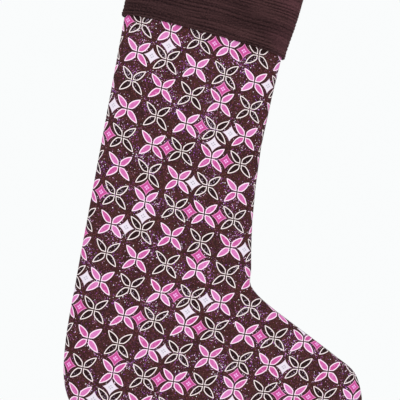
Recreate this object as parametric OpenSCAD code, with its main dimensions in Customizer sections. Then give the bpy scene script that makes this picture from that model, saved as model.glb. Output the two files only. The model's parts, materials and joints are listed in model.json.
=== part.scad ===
// Hanging stocking: a padded boot of printed cotton with a turned-down corduroy cuff and a strap loop.
//
// The sewn parts are drawn on a flat pattern: u runs across the leg from the heel side to the toe side,
// v runs up the leg from the cuff's lower edge, and y is the thickness, with the front at negative y.
// The pattern is then hung below the loop's eye, which is the origin, with +Z up.

/* [Boot] */
// Width of the leg where it leaves the cuff
leg_width = 148; // [136:1:160]
// Drop from the cuff's lower edge to the bottom of the heel
boot_drop = 375; // [340:1:410]
// Thickness of the filled boot, front to back
boot_thickness = 29; // [26:1:34]
// Width of the rounded band along the sewn edge
edge_round = 45; // [30:1:60]
// Fullness of the rounded band, where 2 is an ellipse
edge_power = 2.6; // [2:0.1:3]

/* [Cuff] */
// Height of the turned-down cuff
cuff_height = 88; // [70:1:100]
// How far each side of the cuff leans out towards its top
cuff_flare = 4.7; // [2:0.1:6]
// Thickness of the boot at its mouth, front to back
mouth_thickness = 36; // [34:1:44]
// Depth of the corduroy turned inside the mouth
turn_in = 14; // [8:1:20]

/* [Fabric] */
// Thickness of the printed cotton
cotton = 0.6; // [0.4:0.1:0.8]
// Thickness of the wadding
wadding = 3; // [2:0.5:3.5]
// Thickness of the lining
lining = 0.5; // [0.3:0.1:0.6]
// Thickness of the corduroy
corduroy = 1.4; // [1:0.1:1.6]
// Gap between two layers
ply_gap = 0.15; // [0.1:0.05:0.2]
// Diameter of the sewing thread
thread = 0.6; // [0.4:0.1:0.6]

/* [Loop] */
// Inside radius of the loop's eye
eye_radius = 11; // [9:0.5:13]
// Width of the strap
strap_width = 11; // [8:1:12]
// Thickness of one ply of the strap
strap_thickness = 1.8; // [1.2:0.1:2]
// Height of the eye's centre above the point where the strap bends
loop_drop = 45; // [40:1:60]
// Length of strap sewn down inside the mouth
tail_length = 26; // [18:1:32]

/* [Hanging] */
// Tilt at which the boot balances below its loop
hang_tilt = 23.15; // [20:0.05:35]

/* [Hidden] */
$fn = 64;

// The pattern's two sides, station by station from the mouth to the tip of the toe. Stations are
// straight lines across the boot from one side to the other, and they fan round the ankle.
PATTERN_WIDTH = 148;
PATTERN_DROP = 375;
HEEL_SIDE = [
    [2, 0], [9, -85], [15.5, -165], [21.5, -238], [27.5, -300], [38.5, -340], [62, -365], [94, -375],
    [135, -370], [180, -361], [225, -352], [262, -343], [285, -333], [300, -317], [305.5, -297],
];
TOE_SIDE = [
    [150, 0], [153.2, -80], [163.6, -150], [173.5, -190], [175.5, -202], [181, -208.5], [189.5, -214],
    [200, -219], [212, -224], [229.5, -231], [252, -240], [271.3, -248], [289.5, -257], [301.5, -277],
    [305.5, -297],
];

STATIONS = 32;
COLUMNS = 12;
SEAM_GAP = thread / 2 + 0.05;
FLARE_FROM = -60;
RING_SIDES = 6;

// Depths below the boot's outer surface at which each layer starts and ends
OUTER = [0, cotton];
WADDING = [OUTER[1] + ply_gap, OUTER[1] + ply_gap + wadding];
LINING = [WADDING[1] + ply_gap, WADDING[1] + ply_gap + lining];
FACING = [-ply_gap - lining, -ply_gap];
CUFF = [FACING[0] - ply_gap - corduroy, FACING[0] - ply_gap];
TURNED = [LINING[1] + 2 * ply_gap, LINING[1] + 2 * ply_gap + corduroy];

// Places above the cuff's lower edge
RIM_INSIDE = cuff_height + ply_gap;
RIM_TOP = RIM_INSIDE + corduroy;

// Room for the strap's ends beside the turned-in corduroy, where the mouth's heel side is round
TAIL_ROOM = 3.7;
BEND_RADIUS = strap_thickness + 0.15;
BEND_U = TURNED[1] + TAIL_ROOM + strap_thickness - cuff_flare / 2;
BEND_V = RIM_TOP + 0.5 + BEND_RADIUS;
TAIL_TOP = BEND_V - BEND_RADIUS - 0.3;

// Strap centre line: an eye, two reversed bends and a straight doubled stem
EYE_CENTRE_RADIUS = eye_radius + strap_thickness / 2;
PLY_OFFSET = strap_thickness / 2 + 0.05;
NECK_ANGLE = 38;
NECK_RADIUS = (EYE_CENTRE_RADIUS * sin(NECK_ANGLE) - PLY_OFFSET) / (1 - sin(NECK_ANGLE));
NECK_X = PLY_OFFSET + NECK_RADIUS;
NECK_Z = -sqrt(pow(EYE_CENTRE_RADIUS + NECK_RADIUS, 2) - pow(NECK_X, 2));

// ---------- the flat pattern ----------

function mix(a, b, t) = a + (b - a) * t;

function fit_pattern(points) = [
    for (p = points) [p[0] * leg_width / PATTERN_WIDTH, p[1] * boot_drop / PATTERN_DROP]
];

heel_side = fit_pattern(HEEL_SIDE);
toe_side = fit_pattern(TOE_SIDE);

// A smooth curve through the points, with t counting them from 0
function spline(points, t) =
    let (
        last = len(points) - 1,
        k = min(floor(t), last - 1),
        s = t - k,
        a = points[max(k - 1, 0)],
        b = points[k],
        c = points[k + 1],
        d = points[min(k + 2, last)]
    )
    0.5 * (2 * b + (c - a) * s + (2 * a - 5 * b + 4 * c - d) * s * s
        + (3 * b - a - 3 * c + d) * s * s * s);

// A side of the pattern at station t: straight from -1 at the mouth to 0, curved below it
function side_at(points, lean, t) =
    t < 0 ? points[0] + [-lean * t, -cuff_height * t] : spline(points, t);

function heel_at(t) = side_at(heel_side, -cuff_flare, t);
function toe_at(t) = side_at(toe_side, cuff_flare, t);

function unit(v) = v / norm(v);
function heel_inward(t) =
    let (d = unit(heel_at(min(t + 0.05, TIP)) - heel_at(t - 0.05))) [-d[1], d[0]];
function toe_inward(t) =
    let (d = unit(toe_at(min(t + 0.05, TIP)) - toe_at(t - 0.05))) [d[1], -d[0]];

TIP = len(HEEL_SIDE) - 1;

// A side moved inwards by depth. At the tip both sides meet, so both take the same direction.
function heel_line(t, depth) =
    heel_at(t) + depth * (t < TIP ? heel_inward(t) : tip_inward);
function toe_line(t, depth) =
    toe_at(t) + depth * (t < TIP ? toe_inward(t) : tip_inward);
tip_inward = unit(heel_inward(TIP) + toe_inward(TIP));

// The sewn edge as a chain of short lines, for measuring how far a point lies inside it
EDGE_STEPS = 60;
sewn_edge = concat(
    [for (i = [0:EDGE_STEPS]) heel_at(mix(-1, TIP, i / EDGE_STEPS))],
    [for (i = [EDGE_STEPS - 1:-1:0]) toe_at(mix(-1, TIP, i / EDGE_STEPS))]
);

function to_line(p, a, b) =
    let (s = max(0, min(1, ((p - a) * (b - a)) / ((b - a) * (b - a))))) norm(p - mix(a, b, s));
function inside_edge(p) =
    min([for (i = [0:len(sewn_edge) - 2]) to_line(p, sewn_edge[i], sewn_edge[i + 1])]);

// ---------- the filled thickness ----------

// Half the boot's thickness at height v: even in the boot, fuller towards the open mouth
function half_thickness(v) =
    let (s = max(0, min(1, (v - FLARE_FROM) / (cuff_height - FLARE_FROM))))
    mix(boot_thickness, mouth_thickness, s * s * (3 - 2 * s)) / 2;

// Height of the rounded edge at distance d from it, for a layer of half thickness h
function rounded(d, h) =
    h * pow(1 - pow(1 - max(0, min(1, d / edge_round)), edge_power), 1 / edge_power);

// Places of the columns across a station, closer together at its ends
function across(j) = (1 - cos(180 * j / COLUMNS)) / 2;

// A point of the boot's surface at one depth
function boot_point(t, j, depth) =
    let (
        p = mix(heel_line(t, depth), toe_line(t, depth), across(j)),
        at_edge = j == 0 || j == COLUMNS || t == TIP,
        rise = at_edge ? 0 : rounded(inside_edge(p) - depth, half_thickness(p[1]) - depth)
    )
    [p[0], -SEAM_GAP - rise, p[1]];

// A point of the cuff's surface, which stands outside the boot: v is its height
function cuff_point(v, j, depth) =
    let (
        a = heel_at(-v / cuff_height) + [depth, 0],
        b = toe_at(-v / cuff_height) - [depth, 0],
        s = across(j),
        p = mix(a, b, s),
        rise = rounded(min(s, 1 - s) * norm(b - a), half_thickness(v) - depth)
    )
    [p[0], -SEAM_GAP - rise, p[1]];

// ---------- solids from grids of points ----------

function triangles(a, b, c, d) = [[a, b, c], [a, c, d]];
function sound(faces) =
    [for (f = faces) if (f[0] != f[1] && f[1] != f[2] && f[2] != f[0]) f];

// A closed solid between two grids of the same size. If pointed, a grid's last row is one point.
module between(outer_grid, inner_grid, pointed = false) {
    rows = len(outer_grid);
    cols = len(outer_grid[0]);
    half = rows * cols;
    function at(i, j) = i * cols + (pointed && i == rows - 1 ? 0 : j);
    faces = [
        for (i = [0:rows - 2], j = [0:cols - 2]) each concat(
            triangles(at(i, j), at(i, j + 1), at(i + 1, j + 1), at(i + 1, j)),
            triangles(half + at(i + 1, j), half + at(i + 1, j + 1), half + at(i, j + 1), half + at(i, j))
        ),
        for (i = [0:rows - 2]) each concat(
            triangles(at(i + 1, 0), half + at(i + 1, 0), half + at(i, 0), at(i, 0)),
            triangles(
                at(i, cols - 1), half + at(i, cols - 1), half + at(i + 1, cols - 1), at(i + 1, cols - 1)
            )
        ),
        for (j = [0:cols - 2]) each concat(
            triangles(at(0, j), half + at(0, j), half + at(0, j + 1), at(0, j + 1)),
            pointed ? [] : triangles(
                at(rows - 1, j + 1), half + at(rows - 1, j + 1), half + at(rows - 1, j), at(rows - 1, j)
            )
        ),
    ];
    polyhedron(points = concat([for (r = outer_grid) each r], [for (r = inner_grid) each r]),
        faces = sound(faces));
}

// The front half of one layer of the boot
module boot_layer(depths) {
    function grid(depth) = [
        for (i = [0:STATIONS]) [
            for (j = [0:COLUMNS]) boot_point(mix(-1, TIP, i / STATIONS), j, depth)
        ]
    ];
    between(grid(depths[0]), grid(depths[1]), pointed = true);
}

// The front half of a band round the leg: two lists of [v, depth] give its two faces
module band(outside, inside) {
    function grid(path) = [for (q = path) [for (j = [0:COLUMNS]) cuff_point(q[0], j, q[1])]];
    between(grid(outside), grid(inside));
}

// A thread laid along points in one plane, which up is square to, with its round section square to its path
module thread_along(points, up = [0, 1, 0]) {
    last = len(points) - 1;
    function along(i) = unit(points[min(i + 1, last)] - points[max(i - 1, 0)]);
    function ring(i) =
        let (side = cross(up, along(i)))
        [
            for (k = [0:RING_SIDES - 1])
                let (a = 360 * k / RING_SIDES) points[i] + thread / 2 * (cos(a) * side + sin(a) * up)
        ];
    rings = [for (i = [0:last]) each ring(i)];
    polyhedron(
        points = concat(rings, [points[0], points[last]]),
        faces = [
            for (i = [0:last - 1], k = [0:RING_SIDES - 1])
                let (n = (k + 1) % RING_SIDES, a = i * RING_SIDES, b = a + RING_SIDES)
                each triangles(a + k, b + k, b + n, a + n),
            for (k = [0:RING_SIDES - 1])
                let (n = (k + 1) % RING_SIDES, a = last * RING_SIDES, end = len(rings))
                each [[end, k, n], [end + 1, a + n, a + k]],
        ]
    );
}

// Carries the flat pattern to where it hangs below the loop's eye
module hang() {
    translate([0, 0, -loop_drop]) rotate([0, hang_tilt, 0]) translate([-BEND_U, 0, -BEND_V]) children();
}

module back() {
    mirror([0, 1, 0]) children();
}

// ---------- boot ----------

module outer_front() {
    color([0.30, 0.17, 0.18]) hang() boot_layer(OUTER);
}

module outer_back() {
    color([0.30, 0.17, 0.18]) hang() back() boot_layer(OUTER);
}

module wadding_front() {
    color([0.93, 0.92, 0.88]) hang() boot_layer(WADDING);
}

module wadding_back() {
    color([0.93, 0.92, 0.88]) hang() back() boot_layer(WADDING);
}

module lining_front() {
    color([0.85, 0.72, 0.76]) hang() boot_layer(LINING);
}

module lining_back() {
    color([0.85, 0.72, 0.76]) hang() back() boot_layer(LINING);
}

// The line where the two halves of a layer are sewn together
module seam(depth) {
    steps = 30;
    function place(p) = [p[0], 0, p[1]];
    thread_along(concat(
        [for (i = [0:steps - 1]) place(heel_line(mix(-1, TIP, i / steps), depth))],
        [place(heel_line(TIP, depth))],
        [for (i = [steps - 1:-1:0]) place(toe_line(mix(-1, TIP, i / steps), depth))]
    ));
}

module outer_seam_thread() {
    color([0.25, 0.14, 0.15]) hang() seam(OUTER[0] + thread / 2);
}

module lining_seam_thread() {
    color([0.80, 0.66, 0.70]) hang() seam(LINING[1] - thread / 2);
}

// ---------- cuff ----------

// Heights of the boot's own rows between low and high, so that the cuff's facets run beside the boot's
function boot_rows(low, high) = [
    for (i = [1:STATIONS])
        let (v = -cuff_height * mix(-1, TIP, i / STATIONS)) if (v > low && v < high) v
];

// One face of a sheet outside the boot, from its top down to its lower edge
function hanging_face(high, low, depth) = [
    [high, depth],
    for (v = boot_rows(low, high)) [v, depth],
    [low, depth],
];

// Corduroy from its hem inside the mouth, over the rim and down the outside to the lower edge
module cuff_band() {
    hem = cuff_height - turn_in;
    band(
        concat([[hem, TURNED[1]], [RIM_TOP, TURNED[1]]], hanging_face(RIM_TOP, 0, CUFF[0])),
        concat([[hem, TURNED[0]], [RIM_INSIDE, TURNED[0]]], hanging_face(RIM_INSIDE, 0, CUFF[1]))
    );
}

module cuff_facing_band() {
    low = 0.5;
    high = cuff_height - 0.5;
    band(hanging_face(high, low, FACING[0]), hanging_face(high, low, FACING[1]));
}

// The side seam of the cuff, up the outside, over the rim and down to the hem inside
module cuff_seam(side) {
    outside = CUFF[0] + corduroy / 2;
    inside = TURNED[0] + corduroy / 2;
    top = RIM_INSIDE + corduroy / 2;
    function place(v, depth) =
        let (p = side > 0 ? toe_at(-v / cuff_height) : heel_at(-v / cuff_height))
        [p[0] - side * depth, 0, p[1]];
    thread_along([
        place(1, outside), place(cuff_height / 2, outside), place(top - 0.5, outside),
        place(top, outside + 0.5), place(top, inside - 0.5), place(top - 0.5, inside),
        place(cuff_height - turn_in + 1, inside),
    ]);
}

module cuff_front() {
    color([0.23, 0.13, 0.14]) hang() cuff_band();
}

module cuff_back() {
    color([0.23, 0.13, 0.14]) hang() back() cuff_band();
}

module cuff_facing_front() {
    color([0.28, 0.17, 0.18]) hang() cuff_facing_band();
}

module cuff_facing_back() {
    color([0.28, 0.17, 0.18]) hang() back() cuff_facing_band();
}

module cuff_heel_seam_thread() {
    color([0.18, 0.10, 0.11]) hang() cuff_seam(-1);
}

module cuff_toe_seam_thread() {
    color([0.18, 0.10, 0.11]) hang() cuff_seam(1);
}

// The hem of the turned-in corduroy, sewn to the lining all round the mouth
module mouth_seam_thread() {
    v = cuff_height - turn_in + 3;
    depth = TURNED[1] + thread / 2 + 0.1;
    front = [for (j = [0:COLUMNS]) cuff_point(v, j, depth)];
    whole = concat(front, [for (j = [COLUMNS:-1:0]) [front[j][0], -front[j][1], front[j][2]]]);
    color([0.18, 0.10, 0.11]) hang() thread_along(whole, up = [0, 0, 1]);
}

// ---------- hanging loop ----------

// Half of a ply's thickness below the eye, a little less than the eye's own so that the two lap
PLY_HALF = strap_thickness / 2 - 0.1;

function around(x, z, radius, a) = [x + radius * cos(a), z + radius * sin(a)];

// How far round its bend a ply reaches into the eye's end, and where its neck starts past that end
LAP_ANGLE = 4;
NECK_START = 3;

// One face of a ply, from inside the eye's end down to the bend: side is 1 inside the loop, -1 outside
function ply_face(side, steps = 8) = concat(
    [around(0, 0, EYE_CENTRE_RADIUS - side * PLY_HALF, 270 + NECK_ANGLE + LAP_ANGLE)],
    [
        for (i = [0:steps])
            let (a = mix(90 + NECK_ANGLE + NECK_START, 180, i / steps))
            around(NECK_X, NECK_Z, NECK_RADIUS + side * PLY_HALF, a)
    ],
    [[PLY_OFFSET - side * PLY_HALF, -loop_drop]]
);

// Carries a drawing of the strap's side view into its place, with the strap's width along Y
module strap_wide() {
    translate([0, strap_width / 2, 0]) rotate([90, 0, 0]) linear_extrude(strap_width) children();
}

module strap_ply() {
    inner = ply_face(1);
    strap_wide() polygon(concat(ply_face(-1), [for (i = [len(inner) - 1:-1:0]) inner[i]]));
}

// The strap's round eye, open at its foot where the two plies leave it
module strap_eye() {
    translate([0, strap_width / 2, 0]) rotate([90, 0, 0])
        rotate_extrude(angle = 360 - 2 * NECK_ANGLE, start = 270 + NECK_ANGLE)
            translate([eye_radius, 0]) square([strap_thickness, strap_width]);
}

// The strap's eye, neck and doubled stem, which ends in a round bend at the stitching
module hanging_loop() {
    color([0.23, 0.13, 0.14]) {
        strap_eye();
        strap_ply();
        mirror([1, 0, 0]) strap_ply();
        strap_wide() translate([0, -loop_drop]) circle(r = BEND_RADIUS);
    }
}

// The two ends of the strap, sewn down inside the mouth
module loop_tail() {
    color([0.23, 0.13, 0.14]) hang()
        translate([BEND_U - strap_thickness, -strap_width / 2, TAIL_TOP - tail_length])
            cube([2 * strap_thickness, strap_width, tail_length]);
}

// The line of stitches along one edge of the strap, on its outside
module loop_edge_thread() {
    lift = strap_thickness / 2 + thread / 2 + 0.05;
    steps = 28;
    neck_steps = 6;
    y = -strap_width / 2 + 1.6;
    eye_r = EYE_CENTRE_RADIUS + lift;
    neck_r = NECK_RADIUS - lift;
    start = [PLY_OFFSET + lift, y, -loop_drop + 3];
    function eye_place(a) = [eye_r * cos(a), y, eye_r * sin(a)];
    function neck_place(a) = [NECK_X + neck_r * cos(a), y, NECK_Z + neck_r * sin(a)];
    function flip(p) = [-p[0], p[1], p[2]];
    right = concat(
        [start],
        [for (i = [0:neck_steps]) neck_place(180 - (90 - NECK_ANGLE) * i / neck_steps)],
        [for (i = [1:steps]) eye_place(270 + NECK_ANGLE + (180 - NECK_ANGLE) * i / steps)]
    );
    color([0.30, 0.18, 0.19])
        thread_along(concat(right, [for (i = [len(right) - 2:-1:0]) flip(right[i])]));
}

// A box of stitches with a cross in it, which holds the strap's ends down
module loop_box_stitch() {
    u = BEND_U + strap_thickness + thread / 2 + 0.05;
    top = TAIL_TOP - 5;
    low = TAIL_TOP - tail_length + 3;
    y = strap_width / 2 - 2;
    corners = [[u, -y, low], [u, y, low], [u, y, top], [u, -y, top]];
    lines = [[0, 1], [1, 2], [2, 3], [3, 0], [0, 2], [1, 3]];
    color([0.30, 0.18, 0.19]) hang()
        for (ends = lines) thread_along([corners[ends[0]], corners[ends[1]]], up = [1, 0, 0]);
}

outer_front();
outer_back();
wadding_front();
wadding_back();
lining_front();
lining_back();
cuff_front();
cuff_back();
cuff_facing_front();
cuff_facing_back();
hanging_loop();
loop_tail();
loop_edge_thread();
loop_box_stitch();
outer_seam_thread();
lining_seam_thread();
cuff_heel_seam_thread();
cuff_toe_seam_thread();
mouth_seam_thread();
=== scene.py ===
import json
import math

import bmesh
import bpy
import numpy as np
from mathutils import Matrix, Vector

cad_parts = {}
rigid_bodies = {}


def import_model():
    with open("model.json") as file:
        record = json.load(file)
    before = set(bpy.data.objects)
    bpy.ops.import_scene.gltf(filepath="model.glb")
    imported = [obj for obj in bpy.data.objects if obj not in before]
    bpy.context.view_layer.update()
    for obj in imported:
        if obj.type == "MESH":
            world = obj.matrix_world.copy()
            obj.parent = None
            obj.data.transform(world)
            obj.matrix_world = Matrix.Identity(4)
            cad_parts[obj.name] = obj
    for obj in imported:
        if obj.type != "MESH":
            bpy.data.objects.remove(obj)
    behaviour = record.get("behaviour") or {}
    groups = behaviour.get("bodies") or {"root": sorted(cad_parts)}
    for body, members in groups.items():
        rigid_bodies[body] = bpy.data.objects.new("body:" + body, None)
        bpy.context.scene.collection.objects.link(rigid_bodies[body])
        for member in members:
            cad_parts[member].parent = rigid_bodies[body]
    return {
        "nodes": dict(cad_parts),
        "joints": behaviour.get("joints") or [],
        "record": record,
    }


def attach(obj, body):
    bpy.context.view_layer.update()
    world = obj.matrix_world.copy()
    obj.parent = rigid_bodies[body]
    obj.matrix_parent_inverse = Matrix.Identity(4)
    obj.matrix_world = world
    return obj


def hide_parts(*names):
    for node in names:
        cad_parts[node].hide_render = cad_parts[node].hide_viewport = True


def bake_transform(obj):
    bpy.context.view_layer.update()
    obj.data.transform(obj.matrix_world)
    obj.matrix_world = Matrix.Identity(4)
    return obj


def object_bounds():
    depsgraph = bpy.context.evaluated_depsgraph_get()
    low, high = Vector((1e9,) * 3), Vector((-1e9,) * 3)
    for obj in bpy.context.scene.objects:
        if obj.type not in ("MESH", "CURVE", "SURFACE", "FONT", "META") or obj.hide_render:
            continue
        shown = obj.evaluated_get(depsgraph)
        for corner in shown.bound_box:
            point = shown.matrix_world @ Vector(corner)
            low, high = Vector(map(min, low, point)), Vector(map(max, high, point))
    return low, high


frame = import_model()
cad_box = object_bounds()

# Hanging stocking: a padded boot of printed cotton, a turned-down corduroy cuff and a strap loop.
#
# The sewn parts are drawn on the same flat pattern as the CAD parts, in millimetres: u runs across the
# leg from the heel side to the toe side, v runs up the leg from the cuff's lower edge, and y is the
# thickness, with the front at negative y. hang() then carries them to where they hang, in metres.

# ---------- sizes, in millimetres ----------

MM = 0.001
joint = frame["joints"][0]
LOOP_BODY = joint["parent"]
BOOT_BODY = joint["child"]
LOOP_DROP = -joint["pos_m"][2] / MM
EYE_RADIUS = frame["record"]["mounts"][0]["dims"]["r_mm"]
HANG_TILT = math.radians(23.15)

HEEL_SIDE = np.array([
    [2, 0], [9, -85], [15.5, -165], [21.5, -238], [27.5, -300], [38.5, -340], [62, -365], [94, -375],
    [135, -370], [180, -361], [225, -352], [262, -343], [285, -333], [300, -317], [305.5, -297],
])
TOE_SIDE = np.array([
    [150, 0], [153.2, -80], [163.6, -150], [173.5, -190], [175.5, -202], [181, -208.5], [189.5, -214],
    [200, -219], [212, -224], [229.5, -231], [252, -240], [271.3, -248], [289.5, -257], [301.5, -277],
    [305.5, -297],
])
TIP = len(HEEL_SIDE) - 1
ANKLE = TOE_SIDE[4]

BOOT_THICKNESS = 29
MOUTH_THICKNESS = 36
FLARE_FROM = -60
EDGE_ROUND = 45
EDGE_POWER = 2.6
SEAM_GAP = 0.35
CUFF_HEIGHT = 88
CUFF_FLARE = 4.7
TURN_IN = 14

# Depths below the boot's outer surface at which each layer starts and ends
WADDING = (0.75, 3.75)
LINING = (3.9, 4.4)
FACING = (-0.65, -0.15)
CORDUROY_MIDDLE = -1.5
TURNED_MIDDLE = 5.4

STRAP_WIDTH = 11
STRAP_THICKNESS = 1.8
TAIL_LENGTH = 26
BEND_U = 9.25
BEND_V = 92.0
TAIL_TOP = 89.75
NECK_ANGLE = math.radians(38)
PLY_OFFSET = STRAP_THICKNESS / 2 + 0.05
EYE_CENTRE_RADIUS = EYE_RADIUS + STRAP_THICKNESS / 2
NECK_RADIUS = (EYE_CENTRE_RADIUS * math.sin(NECK_ANGLE) - PLY_OFFSET) / (1 - math.sin(NECK_ANGLE))
NECK_X = PLY_OFFSET + NECK_RADIUS
NECK_Z = -math.sqrt((EYE_CENTRE_RADIUS + NECK_RADIUS) ** 2 - NECK_X ** 2)

# The layers end a little below the rim, inside the round of corduroy that closes the mouth
RIM_ROOM = 2.6
RIM_CENTRE = 85.5


def stacked(*parts):
    """Points from their coordinates, which are grids, rows, columns or single numbers."""
    return np.stack(np.broadcast_arrays(*parts), axis=-1)


def hang(points):
    """Carries pattern points (u, y, v) in millimetres to where they hang, in metres."""
    u = points[..., 0] - BEND_U
    v = points[..., 2] - BEND_V
    x = u * math.cos(HANG_TILT) + v * math.sin(HANG_TILT)
    z = v * math.cos(HANG_TILT) - u * math.sin(HANG_TILT) - LOOP_DROP
    return stacked(x, points[..., 1], z) * MM


def mirrored(points):
    """The same points behind the boot's middle plane."""
    return points * (1, -1, 1)


def hang_half(points, side):
    """Hangs points of the front half, or their mirror images where the side is the back."""
    return hang(mirrored(points) if side == "back" else points)


# ---------- camera, light and floor ----------

VIEW_CENTRE = hang(np.array([112, -BOOT_THICKNESS / 2, -141.8]))
VIEW_WIDTH = 0.36
CAMERA_DISTANCE = 1.0
CAMERA_ROLL = math.radians(8.0)
FLOOR_DROP = 0.3
FLOOR_RADIUS = 1.1
FLOOR_COLOUR = (0.82, 0.81, 0.79, 1)
WORLD_COLOUR = (0.955, 0.97, 0.972, 1)


def add_camera():
    data = bpy.data.cameras.new("camera")
    data.lens = data.sensor_width * CAMERA_DISTANCE / VIEW_WIDTH
    camera = bpy.data.objects.new("camera", data)
    right = Vector((math.cos(CAMERA_ROLL), 0, -math.sin(CAMERA_ROLL)))
    up = Vector((math.sin(CAMERA_ROLL), 0, math.cos(CAMERA_ROLL)))
    backward = right.cross(up)
    turn = Matrix((right, up, backward)).transposed().to_4x4()
    camera.matrix_world = Matrix.Translation(Vector(VIEW_CENTRE) + backward * CAMERA_DISTANCE) @ turn
    bpy.context.scene.collection.objects.link(camera)
    bpy.context.scene.camera = camera


def add_area_light(name, place, size, watts):
    """A round light at a place in metres, turned towards the middle of the picture."""
    data = bpy.data.lights.new(name, "AREA")
    data.shape = "DISK"
    data.size = size
    data.energy = watts
    light = bpy.data.objects.new(name, data)
    light.location = place
    light.rotation_euler = (Vector(VIEW_CENTRE) - Vector(place)).to_track_quat("-Z", "Y").to_euler()
    bpy.context.scene.collection.objects.link(light)


def add_floor():
    height = cad_box[0].z - FLOOR_DROP
    bpy.ops.mesh.primitive_circle_add(
        vertices=96, radius=FLOOR_RADIUS, fill_type="NGON", location=(0, 0, height)
    )
    floor = bpy.context.object
    floor.name = "floor"
    material = bpy.data.materials.new("floor_paint")
    material.use_nodes = True
    shader = material.node_tree.nodes["Principled BSDF"]
    shader.inputs["Base Color"].default_value = FLOOR_COLOUR
    shader.inputs["Roughness"].default_value = 0.7
    floor.data.materials.append(material)


def set_world():
    world = bpy.data.worlds.new("studio")
    world.use_nodes = True
    background = world.node_tree.nodes["Background"]
    background.inputs["Color"].default_value = WORLD_COLOUR
    background.inputs["Strength"].default_value = 1.0
    bpy.context.scene.world = world
    bpy.context.scene.view_settings.view_transform = "Standard"


add_camera()
add_area_light("key", (-0.35, -1.5, 0.35), 0.7, 6)
add_area_light("fill", (1.1, -0.9, -0.1), 0.9, 2)
add_area_light("back", (0.3, 1.5, 0.5), 0.9, 5)
add_floor()
set_world()


# ---------- the flat pattern ----------

def spline(points, t):
    """A smooth curve through the points, with t counting them from 0."""
    last = len(points) - 1
    k = min(int(t), last - 1)
    s = t - k
    a, b, c, d = points[max(k - 1, 0)], points[k], points[k + 1], points[min(k + 2, last)]
    return 0.5 * (
        2 * b + (c - a) * s + (2 * a - 5 * b + 4 * c - d) * s ** 2 + (3 * b - a - 3 * c + d) * s ** 3
    )


def side_at(points, lean, t):
    """A side of the pattern at station t: straight from -1 at the mouth to 0, curved below it."""
    if t < 0:
        return points[0] + np.array([-lean * t, -CUFF_HEIGHT * t])
    return spline(points, t)


def heel_at(t):
    return side_at(HEEL_SIDE, -CUFF_FLARE, t)


def toe_at(t):
    return side_at(TOE_SIDE, CUFF_FLARE, t)


def unit(v):
    return v / np.linalg.norm(v)


def run_along(line):
    """The distance along a line of points, at each of them."""
    return np.concatenate([[0], np.cumsum(np.linalg.norm(np.diff(line, axis=0), axis=1))])


def inward_at(side, hand, t):
    """The way into the boot from a side, which is heel_at with hand 1, or toe_at with hand -1."""
    along = unit(side(min(t + 0.05, TIP)) - side(t - 0.05))
    return hand * np.array([-along[1], along[0]])


TIP_INWARD = unit(inward_at(heel_at, 1, TIP) + inward_at(toe_at, -1, TIP))
EDGE_STEPS = 240


def sewn_edge():
    """The sewn edge as a chain of short lines, from the mouth round the toe and back to the mouth."""
    stations = np.linspace(-1, TIP, EDGE_STEPS + 1)
    down = [heel_at(t) for t in stations]
    up = [toe_at(t) for t in stations[-2::-1]]
    return np.array(down + up)


SEWN_EDGE = sewn_edge()


def nearest_edge(flat):
    """Each flat point's distance from the sewn edge, how far along the edge that is, and the way in."""
    start = SEWN_EDGE[:-1]
    run = np.diff(SEWN_EDGE, axis=0)
    length = np.linalg.norm(run, axis=1)
    reached = np.concatenate([[0], np.cumsum(length)[:-1]])
    points = flat.reshape(-1, 1, 2)
    share = np.clip(((points - start) * run).sum(-1) / length ** 2, 0, 1)
    offset = points - (start + share[..., None] * run)
    gap = np.linalg.norm(offset, axis=-1)
    best = gap.argmin(1)
    row = np.arange(len(best))
    distance = gap[row, best]
    inward = offset[row, best] / np.maximum(distance, 1e-6)[:, None]
    along = reached[best] + share[row, best] * length[best]
    shape = flat.shape[:-1]
    return distance.reshape(shape), along.reshape(shape), inward.reshape(flat.shape)


def smooth_step(x, low, high):
    s = np.clip((x - low) / (high - low), 0, 1)
    return s * s * (3 - 2 * s)


def half_thickness(v):
    """Half the boot's thickness at height v: even in the boot, fuller towards the open mouth."""
    fuller = (MOUTH_THICKNESS - BOOT_THICKNESS) * smooth_step(v, FLARE_FROM, CUFF_HEIGHT)
    return (BOOT_THICKNESS + fuller) / 2


def rounded(distance, h):
    """Height of the rounded edge at a distance from it, for a layer of half thickness h."""
    inward = np.clip(distance / EDGE_ROUND, 0, 1)
    return h * (1 - (1 - inward) ** EDGE_POWER) ** (1 / EDGE_POWER)


def across(columns):
    """Places of the columns across the boot, closer together at its edges."""
    return (1 - np.cos(np.pi * np.arange(columns + 1) / columns)) / 2


def ripple(x, y, wavelength, seed, count=7):
    """A smooth random relief between about -1 and 1, with waves of about one length."""
    rng = np.random.default_rng(seed)
    total = np.zeros_like(x, dtype=float)
    for _ in range(count):
        turn = rng.uniform(0, 2 * np.pi)
        stretch = rng.uniform(0.75, 1.3) * 2 * np.pi / wavelength
        phase = rng.uniform(0, 2 * np.pi)
        total += np.cos((x * np.cos(turn) + y * np.sin(turn)) * stretch + phase)
    return total / math.sqrt(count)


def along_ripple(x, wavelength, seed, count=5):
    """The same along one line only."""
    rng = np.random.default_rng(seed)
    total = np.zeros_like(x, dtype=float)
    for _ in range(count):
        stretch = rng.uniform(0.7, 1.4) * 2 * np.pi / wavelength
        total += np.cos(x * stretch + rng.uniform(0, 2 * np.pi))
    return total / math.sqrt(count)


# ---------- the boot's surface ----------

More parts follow.
